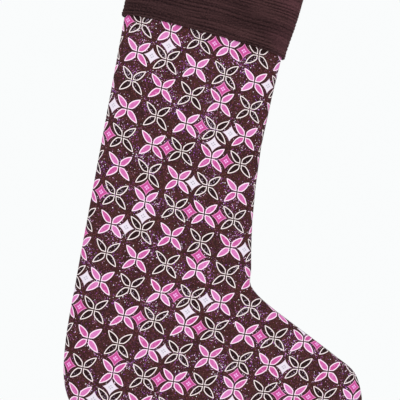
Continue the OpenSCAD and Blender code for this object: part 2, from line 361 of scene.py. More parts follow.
SEEDS = {"front": 11, "back": 47}
CUFF_SEED = 100
PUCKER_LENGTH = 13
PUCKER_HEIGHT = 0.25
PUCKER_PLACE = 5
PUCKER_BAND = 6
ANKLE_PUCKER_HEIGHT = 0.6
ANKLE_REACH = 30
HOLLOW_LENGTH = 46
HOLLOW_HEIGHT = 0.55
DIMPLE_LENGTH = 17
DIMPLE_HEIGHT = 0.25
GROOVE_RIPPLE_LENGTH = 7
GROOVE_REACH = 1.3
TUCK_END = np.array([163, -236])
TUCK_SHOULDER_WIDTH = 7
TUCK_CREASE_WIDTH = 1.7


def tuck_relief(flat):
    """The short tuck that runs from the ankle's corner into the boot, where the cloth is pinched."""
    run = TUCK_END - ANKLE
    length = np.linalg.norm(run)
    way = run / length
    offset = flat - ANKLE
    along = (offset @ way) / length
    aside = offset @ np.array([-way[1], way[0]])
    fade = smooth_step(along, -0.3, 0.05) * (1 - smooth_step(along, 0.35, 1.1))
    shoulder = np.exp(-(aside / TUCK_SHOULDER_WIDTH) ** 2)
    crease = np.exp(-(aside / TUCK_CREASE_WIDTH) ** 2)
    return fade * (0.7 * shoulder - 1.7 * crease)


def relief(flat, distance, along, seed):
    """How far the filled cloth stands out from its even shape: puckers at the seam, and soft hollows."""
    near_ankle = np.exp(-np.linalg.norm(flat - ANKLE, axis=-1) / ANKLE_REACH)
    seam_band = np.exp(-((distance - PUCKER_PLACE) / PUCKER_BAND) ** 2)
    height = PUCKER_HEIGHT + ANKLE_PUCKER_HEIGHT * near_ankle
    puckers = height * seam_band * along_ripple(along, PUCKER_LENGTH, seed)
    u, v = flat[..., 0], flat[..., 1]
    hollows = HOLLOW_HEIGHT * ripple(u, v * 0.45, HOLLOW_LENGTH, seed + 1)
    dimples = DIMPLE_HEIGHT * ripple(u, v, DIMPLE_LENGTH, seed + 2)
    return puckers + smooth_step(distance, 3, 25) * (hollows + dimples)


def even_stations(rows, top):
    """Stations from the top to the tip of the toe, spaced evenly down the middle of the boot."""
    fine = np.linspace(top, TIP, 900)
    middle = np.array([(heel_at(t) + toe_at(t)) / 2 for t in fine])
    run = run_along(middle)
    return np.interp(np.linspace(0, run[-1], rows + 1), run, fine)


def inset_side(side, hand, stations, depth):
    """A side moved into the boot by depth, and the way in, both at each station."""
    inward = np.array([inward_at(side, hand, t) if t < TIP else TIP_INWARD for t in stations])
    return np.array([side(t) for t in stations]) + depth * inward, inward


def boot_grid(rows, columns, depth, seed, groove=0.0):
    """Points of one face of a layer of the boot, and for each the flat pattern point that it comes from,
    that point's distance from the sewn edge, and the way in."""
    top = -1 + RIM_ROOM / CUFF_HEIGHT
    stations = even_stations(rows, top)
    s = across(columns)[None, :, None]
    heel, heel_in = inset_side(heel_at, 1, stations, depth)
    toe, toe_in = inset_side(toe_at, -1, stations, depth)
    flat = heel[:, None] * (1 - s) + toe[:, None] * s
    distance, along, inward = nearest_edge(flat)
    inward[:, 0] = heel_in
    inward[:, -1] = toe_in
    inward[-1] = TIP_INWARD
    rise = rounded(distance - depth, half_thickness(flat[..., 1]) - depth)
    rise += relief(flat, distance, along, seed) * smooth_step(distance, 0, 4)
    if seed == SEEDS["front"]:
        rise += tuck_relief(flat) * smooth_step(distance, 0, 3)
    rise[:, 0] = rise[:, -1] = 0
    rise[-1] = 0
    rise = np.maximum(rise, 0)
    uneven = 1 + 0.4 * along_ripple(along, GROOVE_RIPPLE_LENGTH, seed + 3)
    pinch = groove * uneven * np.exp(-(rise / GROOVE_REACH) ** 2)
    place = flat + inward * pinch[..., None]
    points = stacked(place[..., 0], -SEAM_GAP - rise, place[..., 1])
    return points, flat, distance, inward


def edge_excess():
    """How much longer the cloth is than its view from the front, between each distance from the edge and
    the flat middle: a table of distances and lengths."""
    distance = np.linspace(0, EDGE_ROUND, 400)
    rise = rounded(distance, BOOT_THICKNESS / 2)
    step = np.hypot(np.diff(distance), np.diff(rise)) - np.diff(distance)
    from_middle = np.concatenate([np.cumsum(step[::-1])[::-1], [0]])
    return distance, from_middle


EXCESS = edge_excess()


def cloth_place(flat, distance, inward):
    """Where each point lies on the cloth laid flat, which reaches past the outline, round its edge."""
    return flat - inward * np.interp(distance, *EXCESS)[..., None]


# The cloth's threads wander to one side and back as they go down the leg: by how much of a flower's
# step, over what length, and how far up the leg they lie furthest to the side, both in 100 mm
THREAD_WAVE = 0.045
THREAD_WAVE_LENGTH = 1.9
THREAD_WAVE_PLACE = -0.98


def print_lattice(place):
    """Counts the print's flowers: i towards the toe and j down the leg, both whole at a flower's centre.
    The cloth is cut a few degrees off its grain and stretches slightly over the boot."""
    u = place[..., 0] / 100
    v = place[..., 1] / 100
    drift = THREAD_WAVE * np.cos((v - THREAD_WAVE_PLACE) * 2 * math.pi / THREAD_WAVE_LENGTH)
    i = -3.65 + 3.62 * u + 0.49 * v + 0.02 * u * v + 0.04 * v ** 2 + 0.03 * u ** 2 + drift
    j = -2.06 - 0.13 * u - 3.87 * v - 0.13 * u * v - 0.03 * v ** 2 + 0.09 * u ** 2
    return stacked(i, j)


# ---------- meshes ----------

def numbering(rows, columns, first, pointed):
    """Vertex numbers of a grid. A pointed grid's last row is one vertex."""
    numbers = first + np.arange(rows * columns).reshape(rows, columns)
    if pointed:
        numbers[-1] = numbers[-1, 0]
    return numbers


def grid_vertices(grid, pointed):
    flat = grid.reshape(-1, grid.shape[-1])
    return flat[:len(flat) - grid.shape[1] + 1] if pointed else flat


def patch(numbers):
    """The faces between the rows of a grid of vertex numbers, with triangles at a point."""
    faces = []
    for above, below in zip(numbers[:-1].tolist(), numbers[1:].tolist()):
        for a, b, c, d in zip(above[:-1], above[1:], below[1:], below[:-1]):
            faces.append((a, b, c, d) if c != d else (a, b, c))
    return faces


def tube(numbers):
    """The same faces where the rows are rings, closed on themselves."""
    return patch(np.concatenate([numbers, numbers[:, :1]], axis=1))


def add_mesh(name, vertices, faces, maps=None, values=None):
    """A smooth-shaded object. maps are UV maps and values are numbers, both given for each vertex."""
    mesh = bpy.data.meshes.new(name)
    mesh.from_pydata(vertices.tolist(), [], faces)
    corners = np.zeros(len(mesh.loops), dtype=int)
    mesh.loops.foreach_get("vertex_index", corners)
    for title, places in (maps or {}).items():
        layer = mesh.uv_layers.new(name=title)
        layer.data.foreach_set("uv", places[corners].astype(np.float32).ravel())
    for title, numbers in (values or {}).items():
        attribute = mesh.attributes.new(title, "FLOAT", "POINT")
        attribute.data.foreach_set("value", numbers.astype(np.float32))
    mesh.polygons.foreach_set("use_smooth", [True] * len(mesh.polygons))
    mesh.update()
    piece = bpy.data.objects.new(name, mesh)
    bpy.context.scene.collection.objects.link(piece)
    return piece


def turn_faces_out(piece):
    """Makes a closed mesh's faces all look outwards."""
    work = bmesh.new()
    work.from_mesh(piece.data)
    bmesh.ops.recalc_face_normals(work, faces=work.faces)
    work.to_mesh(piece.data)
    work.free()


def add_shell(name, outside, inside, side, maps, values=None, pointed=False):
    """A closed piece of cloth between two grids of pattern points. maps and values are grids too."""
    rows, columns = outside.shape[:2]
    front = grid_vertices(hang_half(outside, side), pointed)
    outer = numbering(rows, columns, 0, pointed)
    inner = numbering(rows, columns, len(front), pointed)
    rims = [
        np.stack([inner[:, 0], outer[:, 0]], axis=1),
        np.stack([outer[:, -1], inner[:, -1]], axis=1),
        np.stack([inner[0], outer[0]]),
    ]
    if not pointed:
        rims.append(np.stack([outer[-1], inner[-1]]))
    faces = patch(outer) + patch(inner[:, ::-1])
    for rim in rims:
        faces += patch(rim)
    twice = {title: np.tile(grid_vertices(g, pointed), (2, 1)) for title, g in maps.items()}
    both = {title: np.concatenate([grid_vertices(g[..., None], pointed)[:, 0] for g in pair])
            for title, pair in (values or {}).items()}
    vertices = np.concatenate([front, grid_vertices(hang_half(inside, side), pointed)])
    piece = add_mesh(name, vertices, faces, twice, both)
    turn_faces_out(piece)
    return piece


# ---------- materials ----------

def colour(red, green, blue):
    """A colour given as a screen shows it, from 0 to 255, in the linear values that Blender uses."""
    shares = (c / 255 for c in (red, green, blue))
    linear = [c / 12.92 if c <= 0.04045 else ((c + 0.055) / 1.055) ** 2.4 for c in shares]
    return (*linear, 1)


class Field:
    """A number or vector that varies over a surface. Arithmetic on it adds nodes to its material."""

    def __init__(self, look, socket):
        self.look = look
        self.socket = socket

    def __add__(self, other):
        return self.look.math("ADD", self, other)

    def __sub__(self, other):
        return self.look.math("SUBTRACT", self, other)

    def __rsub__(self, other):
        return self.look.math("SUBTRACT", other, self)

    def __mul__(self, other):
        return self.look.math("MULTIPLY", self, other)

    def __truediv__(self, other):
        return self.look.math("DIVIDE", self, other)

    def __pow__(self, other):
        return self.look.math("POWER", self, other)

    def __abs__(self):
        return self.look.math("ABSOLUTE", self)


class Look:
    """A material under construction. math and the methods after it add nodes and return what they give, as
    a Field. finish connects the last ones and returns the material."""

    def __init__(self, name, roughness, specular, sheen=0.0, sheen_tint=(255, 255, 255)):
        self.material = bpy.data.materials.new(name)
        self.material.use_nodes = True
        self.tree = self.material.node_tree
        self.shader = self.tree.nodes["Principled BSDF"]
        constants = {
            "Roughness": roughness, "Specular IOR Level": specular, "Sheen Weight": sheen,
            "Sheen Tint": sheen_tint,
        }
        for title, value in constants.items():
            self.feed(self.shader.inputs[title], value)

    def feed(self, socket, value):
        """Links a Field to a socket, or sets a constant there: a number, or a tuple that is a colour."""
        if isinstance(value, Field):
            self.tree.links.new(value.socket, socket)
        else:
            socket.default_value = colour(*value) if isinstance(value, tuple) else value

    def node(self, kind, *values, **settings):
        """A new node with values for its first inputs."""
        made = self.tree.nodes.new(kind)
        for title, setting in settings.items():
            setattr(made, title, setting)
        for socket, value in zip(made.inputs, values):
            self.feed(socket, value)
        return made

    def math(self, operation, *values, clamp=False):
        made = self.node("ShaderNodeMath", *values, operation=operation, use_clamp=clamp)
        return Field(self, made.outputs[0])

    def step(self, value, low, high):
        """0 below low, 1 above high, and smooth between them."""
        made = self.node("ShaderNodeMapRange", value, low, high, interpolation_type="SMOOTHSTEP")
        return Field(self, made.outputs[0])

    def blend(self, share, a, b):
        """Colour a where share is 0 and b where it is 1."""
        made = self.node("ShaderNodeMix", data_type="RGBA")
        for number, value in zip((0, 6, 7), (share, a, b)):
            self.feed(made.inputs[number], value)
        return Field(self, made.outputs[2])

    def map(self, title):
        return Field(self, self.node("ShaderNodeUVMap", uv_map=title).outputs[0])

    def place(self):
        """The point's place in the object, in metres."""
        return Field(self, self.node("ShaderNodeTexCoord").outputs["Object"])

    def value(self, title):
        return Field(self, self.node("ShaderNodeAttribute", attribute_name=title).outputs["Fac"])

    def parts(self, vector):
        made = self.node("ShaderNodeSeparateXYZ", vector)
        return [Field(self, output) for output in made.outputs]

    def join(self, *values):
        return Field(self, self.node("ShaderNodeCombineXYZ", *values).outputs[0])

    def scaled(self, vector, x, y):
        made = self.node("ShaderNodeVectorMath", vector, operation="MULTIPLY")
        made.inputs[1].default_value = (x, y, 1)
        return Field(self, made.outputs[0])

    def noise(self, vector, scale=1.0, detail=2):
        made = self.node("ShaderNodeTexNoise", vector)
        made.inputs["Scale"].default_value = scale
        made.inputs["Detail"].default_value = detail
        return Field(self, made.outputs["Fac"])

    def dots(self, vector, scale):
        """Distance to the nearest of many scattered points, and that point's own random colour."""
        made = self.node("ShaderNodeTexVoronoi", vector)
        made.inputs["Scale"].default_value = scale
        return Field(self, made.outputs["Distance"]), Field(self, made.outputs["Color"])

    def chance(self, vector):
        """A random number for each different vector."""
        return Field(self, self.node("ShaderNodeTexWhiteNoise", vector).outputs["Value"])

    def finish(self, base, height, bump, roughness=None):
        """Connects the colour, and a relief: a height of 1 stands bump metres high."""
        self.feed(self.shader.inputs["Base Color"], base)
        if roughness is not None:
            self.feed(self.shader.inputs["Roughness"], roughness)
        made = self.node("ShaderNodeBump")
        made.inputs["Distance"].default_value = bump
        self.feed(made.inputs["Height"], height)
        self.feed(self.shader.inputs["Normal"], Field(self, made.outputs[0]))
        return self.material


THREADS_PER_MM = 1.6


def wave(look, run, length):
    """Ridges from 0 to 1 in height, a length apart along run."""
    return look.math("SINE", run * (2 * math.pi / length)) * 0.5 + 0.5


def plain_weave(look, cloth):
    """Height of a plain weave, on a map in millimetres: threads that pass over and under in turn."""
    x, y, _ = look.parts(cloth)
    over = look.math("SINE", x * (2 * math.pi * THREADS_PER_MM))
    under = look.math("SINE", y * (2 * math.pi * THREADS_PER_MM))
    return over * under * 0.5 + 0.5


# The print's repeat is 4 flowers across and 6 down. Diamonds stand between neighbouring flowers:
# beside flower (i, j) towards (i + 1, j), and below it towards (i, j + 1).
REPEAT_ACROSS = 4
REPEAT_DOWN = 6
PINK_BESIDE = [(3, 1), (0, 2), (2, 2), (0, 4), (3, 4)]
WHITE_BESIDE = [(0, 1), (3, 3), (1, 5)]
PINK_BELOW = [(2, 3), (0, 5)]
WHITE_BELOW = [(0, 1), (2, 4)]
STEP_ACROSS = 27.0
STEP_DOWN = 25.9
PETAL_START = 0.4
PETAL_END = 15.1
PETAL_HALF_WIDTH = 2.85
BASE_GAP = 0.6
FILLED_LINE = 0.82
HOLLOW_LINE = 0.72
DIAMOND_RADIUS = 7.4
DIAMOND_POWER = 0.74
DOT_REACH = 1.35
DOT_RADIUS = 0.62
HALO = (26, 13, 17)


def petals(look, x, y):
    """How far inside a petal's outline each point lies, in millimetres, 1 where the flower is a filled
    one, and a random number per petal. The petals lie on the diagonals between the rows of flowers."""
    i = look.math("ROUND", x)
    j = look.math("ROUND", y)
    across_mm = (x - i) * STEP_ACROSS
    down_mm = (y - j) * STEP_DOWN
    along = (abs(across_mm) + abs(down_mm)) * math.sqrt(0.5)
    aside = abs(abs(across_mm) - abs(down_mm)) * math.sqrt(0.5)
    share = look.math("DIVIDE", along - PETAL_START, PETAL_END - PETAL_START, clamp=True)
    lens = share ** 0.6 * (1 - share) ** 0.85 * (2.66 * PETAL_HALF_WIDTH)
    beyond_tip = look.math("MAXIMUM", along - PETAL_END, 0.0)
    width = look.math("MINIMUM", lens, along * 0.8 - BASE_GAP) - beyond_tip * 2
    quadrant = look.math("SIGN", across_mm) + look.math("SIGN", down_mm) * 2
    filled = look.math("COMPARE", look.math("FLOORED_MODULO", i + j, 2.0), 0.0, 0.1)
    return width - aside, filled, look.chance(look.join(i, j, quadrant))


def diamond(look, x, y, centre_i, centre_j):
    """How far inside a four-pointed diamond each point lies, 0 at its edge and 1 at its centre, and 1 on
    the four dots round its centre."""
    across_mm = abs((x - centre_i) * STEP_ACROSS)
    down_mm = abs((y - centre_j) * STEP_DOWN)
    inside = 1 - (across_mm / DIAMOND_RADIUS) ** DIAMOND_POWER
    inside = inside - (down_mm / DIAMOND_RADIUS) ** DIAMOND_POWER
    beyond = look.math("MAXIMUM", across_mm, down_mm) - DOT_REACH
    beside = look.math("MINIMUM", across_mm, down_mm)
    from_dot = look.math("SQRT", beyond * beyond + beside * beside)
    return inside, 1 - look.step(from_dot, DOT_RADIUS * 0.6, DOT_RADIUS * 1.3)


def listed(look, i, j, places):
    """1 where the place (i, j) in the repeat is one of those listed."""
    number = (look.math("FLOORED_MODULO", i, REPEAT_ACROSS)
              + look.math("FLOORED_MODULO", j, REPEAT_DOWN) * REPEAT_ACROSS)
    total = 0.0
    for place_i, place_j in places:
        total = look.math("COMPARE", number, place_i + place_j * REPEAT_ACROSS, 0.1) + total
    return total


def printed_cotton():
    """Dark brown cotton with rows of four-petal flowers, diamonds between them, and glitter."""
    look = Look("printed_cotton", roughness=0.8, specular=0.08)
    cloth = look.map("Cloth")
    x, y, _ = look.parts(look.map("Print"))

    ground = speckled_ground(look, cloth)
    inside, filled, luck = petals(look, x, y)
    line_width = filled * (FILLED_LINE - HOLLOW_LINE) + HOLLOW_LINE
    body = look.step(inside, line_width - 0.2, line_width + 0.2)
    outline = look.step(inside, -0.25, 0.1)
    halo = look.step(inside, -1.5, -0.4)
    ground = look.blend(halo * 0.5, ground, HALO)
    glitter, glitter_colour = glitter_dots(look, cloth)
    ground = look.blend(glitter, ground, glitter_colour)

    pink = look.blend(luck, (187, 72, 141), (208, 121, 183))
    streak = look.noise(cloth, 0.5, 3)
    pink = look.blend(look.step(streak, 0.48, 0.72) * 0.55, pink, (226, 152, 206))
    hollow = look.blend(0.6, ground, (30, 17, 19))
    hollow = look.blend(glitter * 0.8, hollow, (196, 176, 196))
    fill = look.blend(filled, hollow, pink)
    line = look.blend(filled, (252, 236, 236), (255, 226, 244))
    base = look.blend(outline, ground, line)
    base = look.blend(body, base, fill)
    for beside in (True, False):
        base = draw_diamonds(look, base, x, y, cloth, beside)

    thread_height = plain_weave(look, cloth) * 0.25 + look.noise(cloth, 0.7, 3) * 0.75
    return look.finish(base, thread_height, 0.00022, 0.85 - glitter * 0.35)


def speckled_ground(look, cloth):
    """Dark brown, a little uneven, sprinkled all over with dim olive, dull pink and violet specks."""
    patchy = look.noise(cloth, 0.06, 3)
    ground = look.blend(look.step(patchy, 0.35, 0.7), (52, 28, 29), (64, 34, 32))
    distance, own = look.dots(cloth, 0.95)
    red, green, _ = look.parts(own)
    dull = look.blend(look.step(green, 0.2, 0.4), (86, 72, 52), (140, 78, 86))
    dull = look.blend(look.step(green, 0.66, 0.78), dull, (122, 60, 112))
    speck = (1 - look.step(distance, 0.16, 0.55)) * look.step(red, 0.05, 0.85)
    ground = look.blend(speck * 0.85, ground, dull)
    return look.blend(look.step(look.noise(cloth, 0.5), 0.48, 0.7) * 0.5, ground, (90, 48, 46))


def glitter_dots(look, cloth):
    """Tiny bright dots that crowd together in places: how strongly each shows, and its colour."""
    crowd = look.step(look.noise(cloth, 0.055, 3), 0.46, 0.62)
    distance, own = look.dots(cloth, 1.0)
    red, green, blue = look.parts(own)
    kept = look.step(red, 0.9 - crowd * 0.55, 0.97 - crowd * 0.55)
    size = green * green * 0.22 + 0.18
    dot = (1 - look.step(distance, size, size + 0.14)) * kept
    violet = look.blend(look.step(blue, 0.08, 0.3), (164, 90, 196), (214, 104, 178))
    pale = look.blend(look.step(blue, 0.6, 0.76), violet, (232, 182, 222))
    return dot, look.blend(look.step(blue, 0.87, 0.94), pale, (252, 244, 252))


def draw_diamonds(look, base, x, y, cloth, beside):
    """Adds the diamonds that stand beside the flowers, or those below them."""
    if beside:
        i, j = look.math("FLOOR", x), look.math("ROUND", y)
        inside, dots = diamond(look, x, y, i + 0.5, j)
        pink, white = listed(look, i, j, PINK_BESIDE), listed(look, i, j, WHITE_BESIDE)
    else:
        i, j = look.math("ROUND", x), look.math("FLOOR", y)
        inside, dots = diamond(look, x, y, i, j + 0.5)
        pink, white = listed(look, i, j, PINK_BELOW), listed(look, i, j, WHITE_BELOW)
    edge = look.step(inside, -0.03, 0.04)
    halo = look.step(inside, -0.22, -0.05)
    heart = look.step(inside, 0.07, 0.15)
    core = look.step(inside, 0.34, 0.46)
    pink_fill = look.blend(heart, (236, 150, 200), (188, 72, 140))
    pink_fill = look.blend(core, pink_fill, (204, 96, 168))
    pink_fill = look.blend(dots, pink_fill, (246, 196, 244))
    grain = look.noise(cloth, 0.8)
    white_fill = look.blend(heart, (236, 212, 228), (224, 216, 228))
    white_fill = look.blend(look.step(grain, 0.5, 0.7) * core * 0.45, white_fill, (184, 172, 188))
    white_fill = look.blend(dots * 0.8, white_fill, (160, 148, 164))
    shown = pink + white
    base = look.blend(halo * shown * 0.5, base, HALO)
    return look.blend(edge * shown, base, look.blend(white, pink_fill, white_fill))


def corduroy():
    """Dark brown corduroy: velvety ribs that catch the light, with grooves sunk between them that carry
    painted shade, and painted light that makes it lighter towards the toe side.
    """
    look = Look("corduroy", roughness=0.95, specular=0.04, sheen=0.1, sheen_tint=(170, 120, 130))
    cloth = look.map("Cloth")
    across_mm = look.parts(cloth)[0]
    pile = look.value("pile")
    tufts = look.noise(cloth, 0.75)
    fibres = look.noise(look.scaled(cloth, 3.4, 1.2), detail=3)
    # Painted light: the cloth is drawn lighter towards the toe side, where more light falls on it, in two
    # steps, with a little noise in where each step lies.
    lit = across_mm + look.noise(cloth, 0.05) * 50
    painted_light_share = look.step(lit, 60, 130)
    painted_strong_light_share = look.step(lit, 148, 178)
    # Painted shade: the grooves are drawn far darker than the crests of the ribs, and the pile value picks
    # between the two.
    groove_shade = look.blend(painted_light_share, (10, 6, 7), (16, 9, 10))
    crest = look.blend(painted_light_share, (56, 37, 38), (66, 43, 44))
    groove_shade = look.blend(painted_strong_light_share, groove_shade, (42, 25, 29))
    crest = look.blend(painted_strong_light_share, crest, (84, 52, 57))
    base = look.blend(look.step(pile, 0.05, 1.0), groove_shade, crest)
    # Painted shade: broad bands across the ribs mix in more of the grooves' shade colour.
    bands = look.noise(look.scaled(cloth, 0.012, 0.16), detail=3)
    base = look.blend(look.step(bands, 0.42, 0.58) * 0.55, base, groove_shade)
    base = look.blend(look.step(tufts, 0.42, 0.7) * 0.45, base, (84, 56, 57))
    base = look.blend(look.step(fibres, 0.45, 0.78) * 0.3, base, (96, 68, 70))
    base = look.blend(look.step(look.noise(cloth, 0.7), 0.46, 0.68) * 0.52, base, (20, 12, 13))
    return look.finish(base, tufts * 0.4 + fibres * 0.6, 0.0004)


def plain_cotton(name, base, slub):
    """Plain woven cotton, with thicker threads here and there."""
    look = Look(name, roughness=0.82, specular=0.2, sheen=0.1)
    cloth = look.map("Cloth")
    long_slubs = look.noise(look.scaled(cloth, 0.05, 0.9))
    cross_slubs = look.noise(look.scaled(cloth, 0.9, 0.05))
    mark = look.math("MAXIMUM", look.step(long_slubs, 0.58, 0.75), look.step(cross_slubs, 0.58, 0.75))
    patchy = look.noise(cloth, 0.03, 3)
    shade = look.blend(patchy * 0.35, base, slub)
    shade = look.blend(mark * 0.5, shade, slub)
    return look.finish(shade, plain_weave(look, cloth) + mark * 0.6, 0.00018)


def batting():
    """Bonded wadding: matted white fibres with a soft lumpy face."""
    look = Look("batting", roughness=0.95, specular=0.05, sheen=0.3)
    cloth = look.map("Cloth")
    lumps = look.noise(cloth, 0.12, 4)
    fibres = look.noise(look.scaled(cloth, 1, 0.3), 1.1, 4)
    base = look.blend(lumps, (226, 222, 212), (246, 244, 238))
    base = look.blend(look.step(fibres, 0.5, 0.75) * 0.4, base, (208, 204, 196))
    return look.finish(base, lumps * 0.6 + fibres * 0.4, 0.0012)


TWILL_SLANT = 1.6
TWILL_STEP = 0.95
TWIST_LENGTH = 0.0009


def strap_twill():
    """Brown cotton twill: fine slanting ridges along the strap, a little paler where it rubs."""
    look = Look("strap_twill", roughness=0.75, specular=0.22, sheen=0.2)
    cloth = look.map("Cloth")
    x, y, _ = look.parts(cloth)
    ridges = wave(look, x + y * TWILL_SLANT, TWILL_STEP)
    fibres = look.noise(cloth, 1.8, 3)
    edge = look.step(abs(y), STRAP_WIDTH * 0.36, STRAP_WIDTH * 0.52)
    base = look.blend(ridges, (54, 30, 33), (78, 46, 50))
    base = look.blend(look.step(fibres, 0.4, 0.8) * 0.4, base, (96, 62, 64))
    base = look.blend(edge * 0.35, base, (112, 76, 78))
    return look.finish(base, ridges * 0.7 + fibres * 0.3, 0.0003)


def thread(name, dark, light):
    """Twisted sewing thread."""
    look = Look(name, roughness=0.5, specular=0.35, sheen=0.15)
    place = look.place()
    x, y, z = look.parts(place)
    twist = wave(look, x + y + z, TWIST_LENGTH)
    base = look.blend(twist, dark, light)
    base = look.blend(look.noise(place, 900) * 0.4, base, dark)
    return look.finish(base, twist, 0.00008)


# ---------- the boot ----------

OUTER_ROWS = 230
OUTER_COLUMNS = 78
LAYER_ROWS = 110
LAYER_COLUMNS = 36
SEAM_GROOVE = 0.55
# Where the back's print lies beside the front's, in flowers towards the toe and down the leg
BACK_PRINT_SHIFT = (0.4, 2.6)


def dress(piece, material, slot, *nodes):
    """Gives a piece its material and hides the CAD nodes that it stands for."""
    piece.data.materials.append(material)
    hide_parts(*nodes)


def add_outer(side, material):
    """A printed panel: one sheet of cloth, sewn to its twin round the edge."""
    points, flat, distance, inward = boot_grid(OUTER_ROWS, OUTER_COLUMNS, 0, SEEDS[side], SEAM_GROOVE)
    place = cloth_place(flat, distance, inward)
    lattice = print_lattice(place)
    faces = patch(numbering(*points.shape[:2], 0, True))
    if side == "back":
        lattice = lattice * (-1, 1) + BACK_PRINT_SHIFT
    else:
        faces = [face[::-1] for face in faces]
    vertices = grid_vertices(hang_half(points, side), True)
    maps = {"Print": grid_vertices(lattice, True), "Cloth": grid_vertices(place, True)}
    piece = add_mesh("printed_" + side, vertices, faces, maps)
    dress(piece, material, "printed_cotton", "outer_" + side)
    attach(piece, BOOT_BODY)


def add_layer(name, node, depths, side, material, slot):
    """A layer inside the boot, as a closed sheet of its real thickness."""
    outside, flat, _, _ = boot_grid(LAYER_ROWS, LAYER_COLUMNS, depths[0], SEEDS[side])
    inside = boot_grid(LAYER_ROWS, LAYER_COLUMNS, depths[1], SEEDS[side])[0]
    piece = add_shell(name, outside, inside, side, {"Cloth": flat}, pointed=True)
    dress(piece, material, slot, node)
    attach(piece, BOOT_BODY)


# ---------- the cuff ----------

CUFF_COLUMNS = 96
CUFF_WIDTH = 150
ROW_STEP = 0.42
RIM_RADIUS = (TURNED_MIDDLE - CORDUROY_MIDDLE) / 2
CUFF_RUN = RIM_CENTRE + math.pi * RIM_RADIUS + RIM_CENTRE - (CUFF_HEIGHT - TURN_IN)
# How far the corduroy's two faces stand from its middle: its back, its grooves and its ribs
CORDUROY_HALF = 0.7
GROOVE_HALF = 0.1
CREST_HALF = 1.15
RIB_STEPS = (2.4, 4.1)
RIB_WANDER = 0.55
GROOVE_FILLS = (0.0, 0.6)
NOSE_LENGTH = 1.1
ROLL_LENGTH = 4.5
ROLL_HEIGHT = 0.45
SAG = 0.35
TUFT = 0.09
# The cuff's lower edge is lifted a little at the side seams, and arches up further between them
EDGE_LIFT = 1.8
EDGE_ARCH = 2.7
ARCH_POWER = 3.5


def cuff_line(run):
    """The corduroy's middle at a distance along it: height, depth, and the way out of its ribbed face. It
    goes up the outside, over the rim in a half circle, and down the inside."""
    turn = np.clip((run - RIM_CENTRE) / RIM_RADIUS, 0, np.pi)
    past = np.maximum(run - RIM_CENTRE - math.pi * RIM_RADIUS, 0)
    height = np.minimum(run, RIM_CENTRE) + RIM_RADIUS * np.sin(turn) - past
    depth = CORDUROY_MIDDLE + RIM_RADIUS * (1 - np.cos(turn))
    return height, depth, np.sin(turn), -np.cos(turn)


def edge_rise(height, s):
    """How far the arch of the lower edge lifts the cuff at a height: all of it there, none at the rim."""
    arch = EDGE_LIFT + EDGE_ARCH * (1 - np.abs(2 * s - 1) ** ARCH_POWER)
    return arch * np.clip(1 - height / RIM_CENTRE, 0, 1)


def rib_edges(seed):
    """Places of the grooves along the corduroy, at slightly uneven steps."""
    rng = np.random.default_rng(seed)
    edges = [-1.0]
    while edges[-1] < CUFF_RUN + 6:
        edges.append(edges[-1] + rng.uniform(*RIB_STEPS))
    return np.array(edges)


def rib_height(run, u, seed):
    """How high the pile stands, from 0 in a groove to 1 on a rib's crest. The ribs wander a little."""
    edges = rib_edges(seed)
    shifted = run + RIB_WANDER * ripple(u, run * 2, 60, seed + 1)
    rib = np.clip(np.searchsorted(edges, shifted) - 1, 0, len(edges) - 2)
    share = (shifted - edges[rib]) / (edges[rib + 1] - edges[rib])
    crest = np.sin(np.pi * np.clip(share, 0, 1)) ** 0.8
    rng = np.random.default_rng(seed + 2)
    closed = rng.uniform(*GROOVE_FILLS, len(edges))[np.where(share < 0.5, rib, rib + 1)]
    filled = np.clip(closed + 0.25 * ripple(u, run * 1.5, 35, seed + 3), 0, 0.8)
    return 1 - (1 - crest) * (1 - filled)


def cuff_points(height, depth, s):
    """Points of a surface round the leg: s runs across the cuff, from 0 at the heel side to 1."""
    stations = -height / CUFF_HEIGHT
    heel = np.array([heel_at(t)[0] for t in stations[:, 0]])[:, None] + depth
    toe = np.array([toe_at(t)[0] for t in stations[:, 0]])[:, None] - depth
    u = heel + (toe - heel) * s
    rise = rounded(np.minimum(s, 1 - s) * (toe - heel), half_thickness(height) - depth)
    return stacked(u, -SEAM_GAP - rise, height)


def add_cuff(side, material):
    """Half of the cuff: a closed sheet of corduroy with its ribs and grooves as real relief."""
    seed = SEEDS[side] + CUFF_SEED
    run = np.linspace(0, CUFF_RUN, int(CUFF_RUN / ROW_STEP) + 1)[:, None]
    s = across(CUFF_COLUMNS)[None, :]
    height, depth, up, out = cuff_line(run)
    u = CUFF_WIDTH * s + 0 * run
    pile = rib_height(run, u, seed)
    from_end = np.clip(np.minimum(run, CUFF_RUN - run) / NOSE_LENGTH, 0, 1)
    nose = np.sqrt(np.clip(1 - (1 - from_end) ** 2, 0, 1))
    roll = ROLL_HEIGHT * np.exp(-(2 * run / ROLL_LENGTH - 1) ** 2)
    sag = SAG * ripple(u, run, 55, seed + 5) * smooth_step(CUFF_RUN - run, 10, 40)
    tufts = TUFT * ripple(u, run * 1.3, 2.6, seed + 6, 11)
    outer = (GROOVE_HALF + (CREST_HALF - GROOVE_HALF) * pile + tufts + roll) * nose
    outer += np.maximum(sag, -0.3)
    inner = CORDUROY_HALF * nose - 0.25 * np.minimum(sag, 0)
    height = height + edge_rise(run, s)
    outside = cuff_points(height + outer * up, depth + outer * out, s)
    inside = cuff_points(height - inner * up, depth - inner * out, s)
    outside[:, 0, 1] = outside[:, -1, 1] = -SEAM_GAP
    maps = {"Cloth": stacked(u, run)}
    piece = add_shell("corduroy_cuff_" + side, outside, inside, side, maps, {"pile": (pile, pile * 0)})
    dress(piece, material, "corduroy", "cuff_" + side)
    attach(piece, BOOT_BODY)


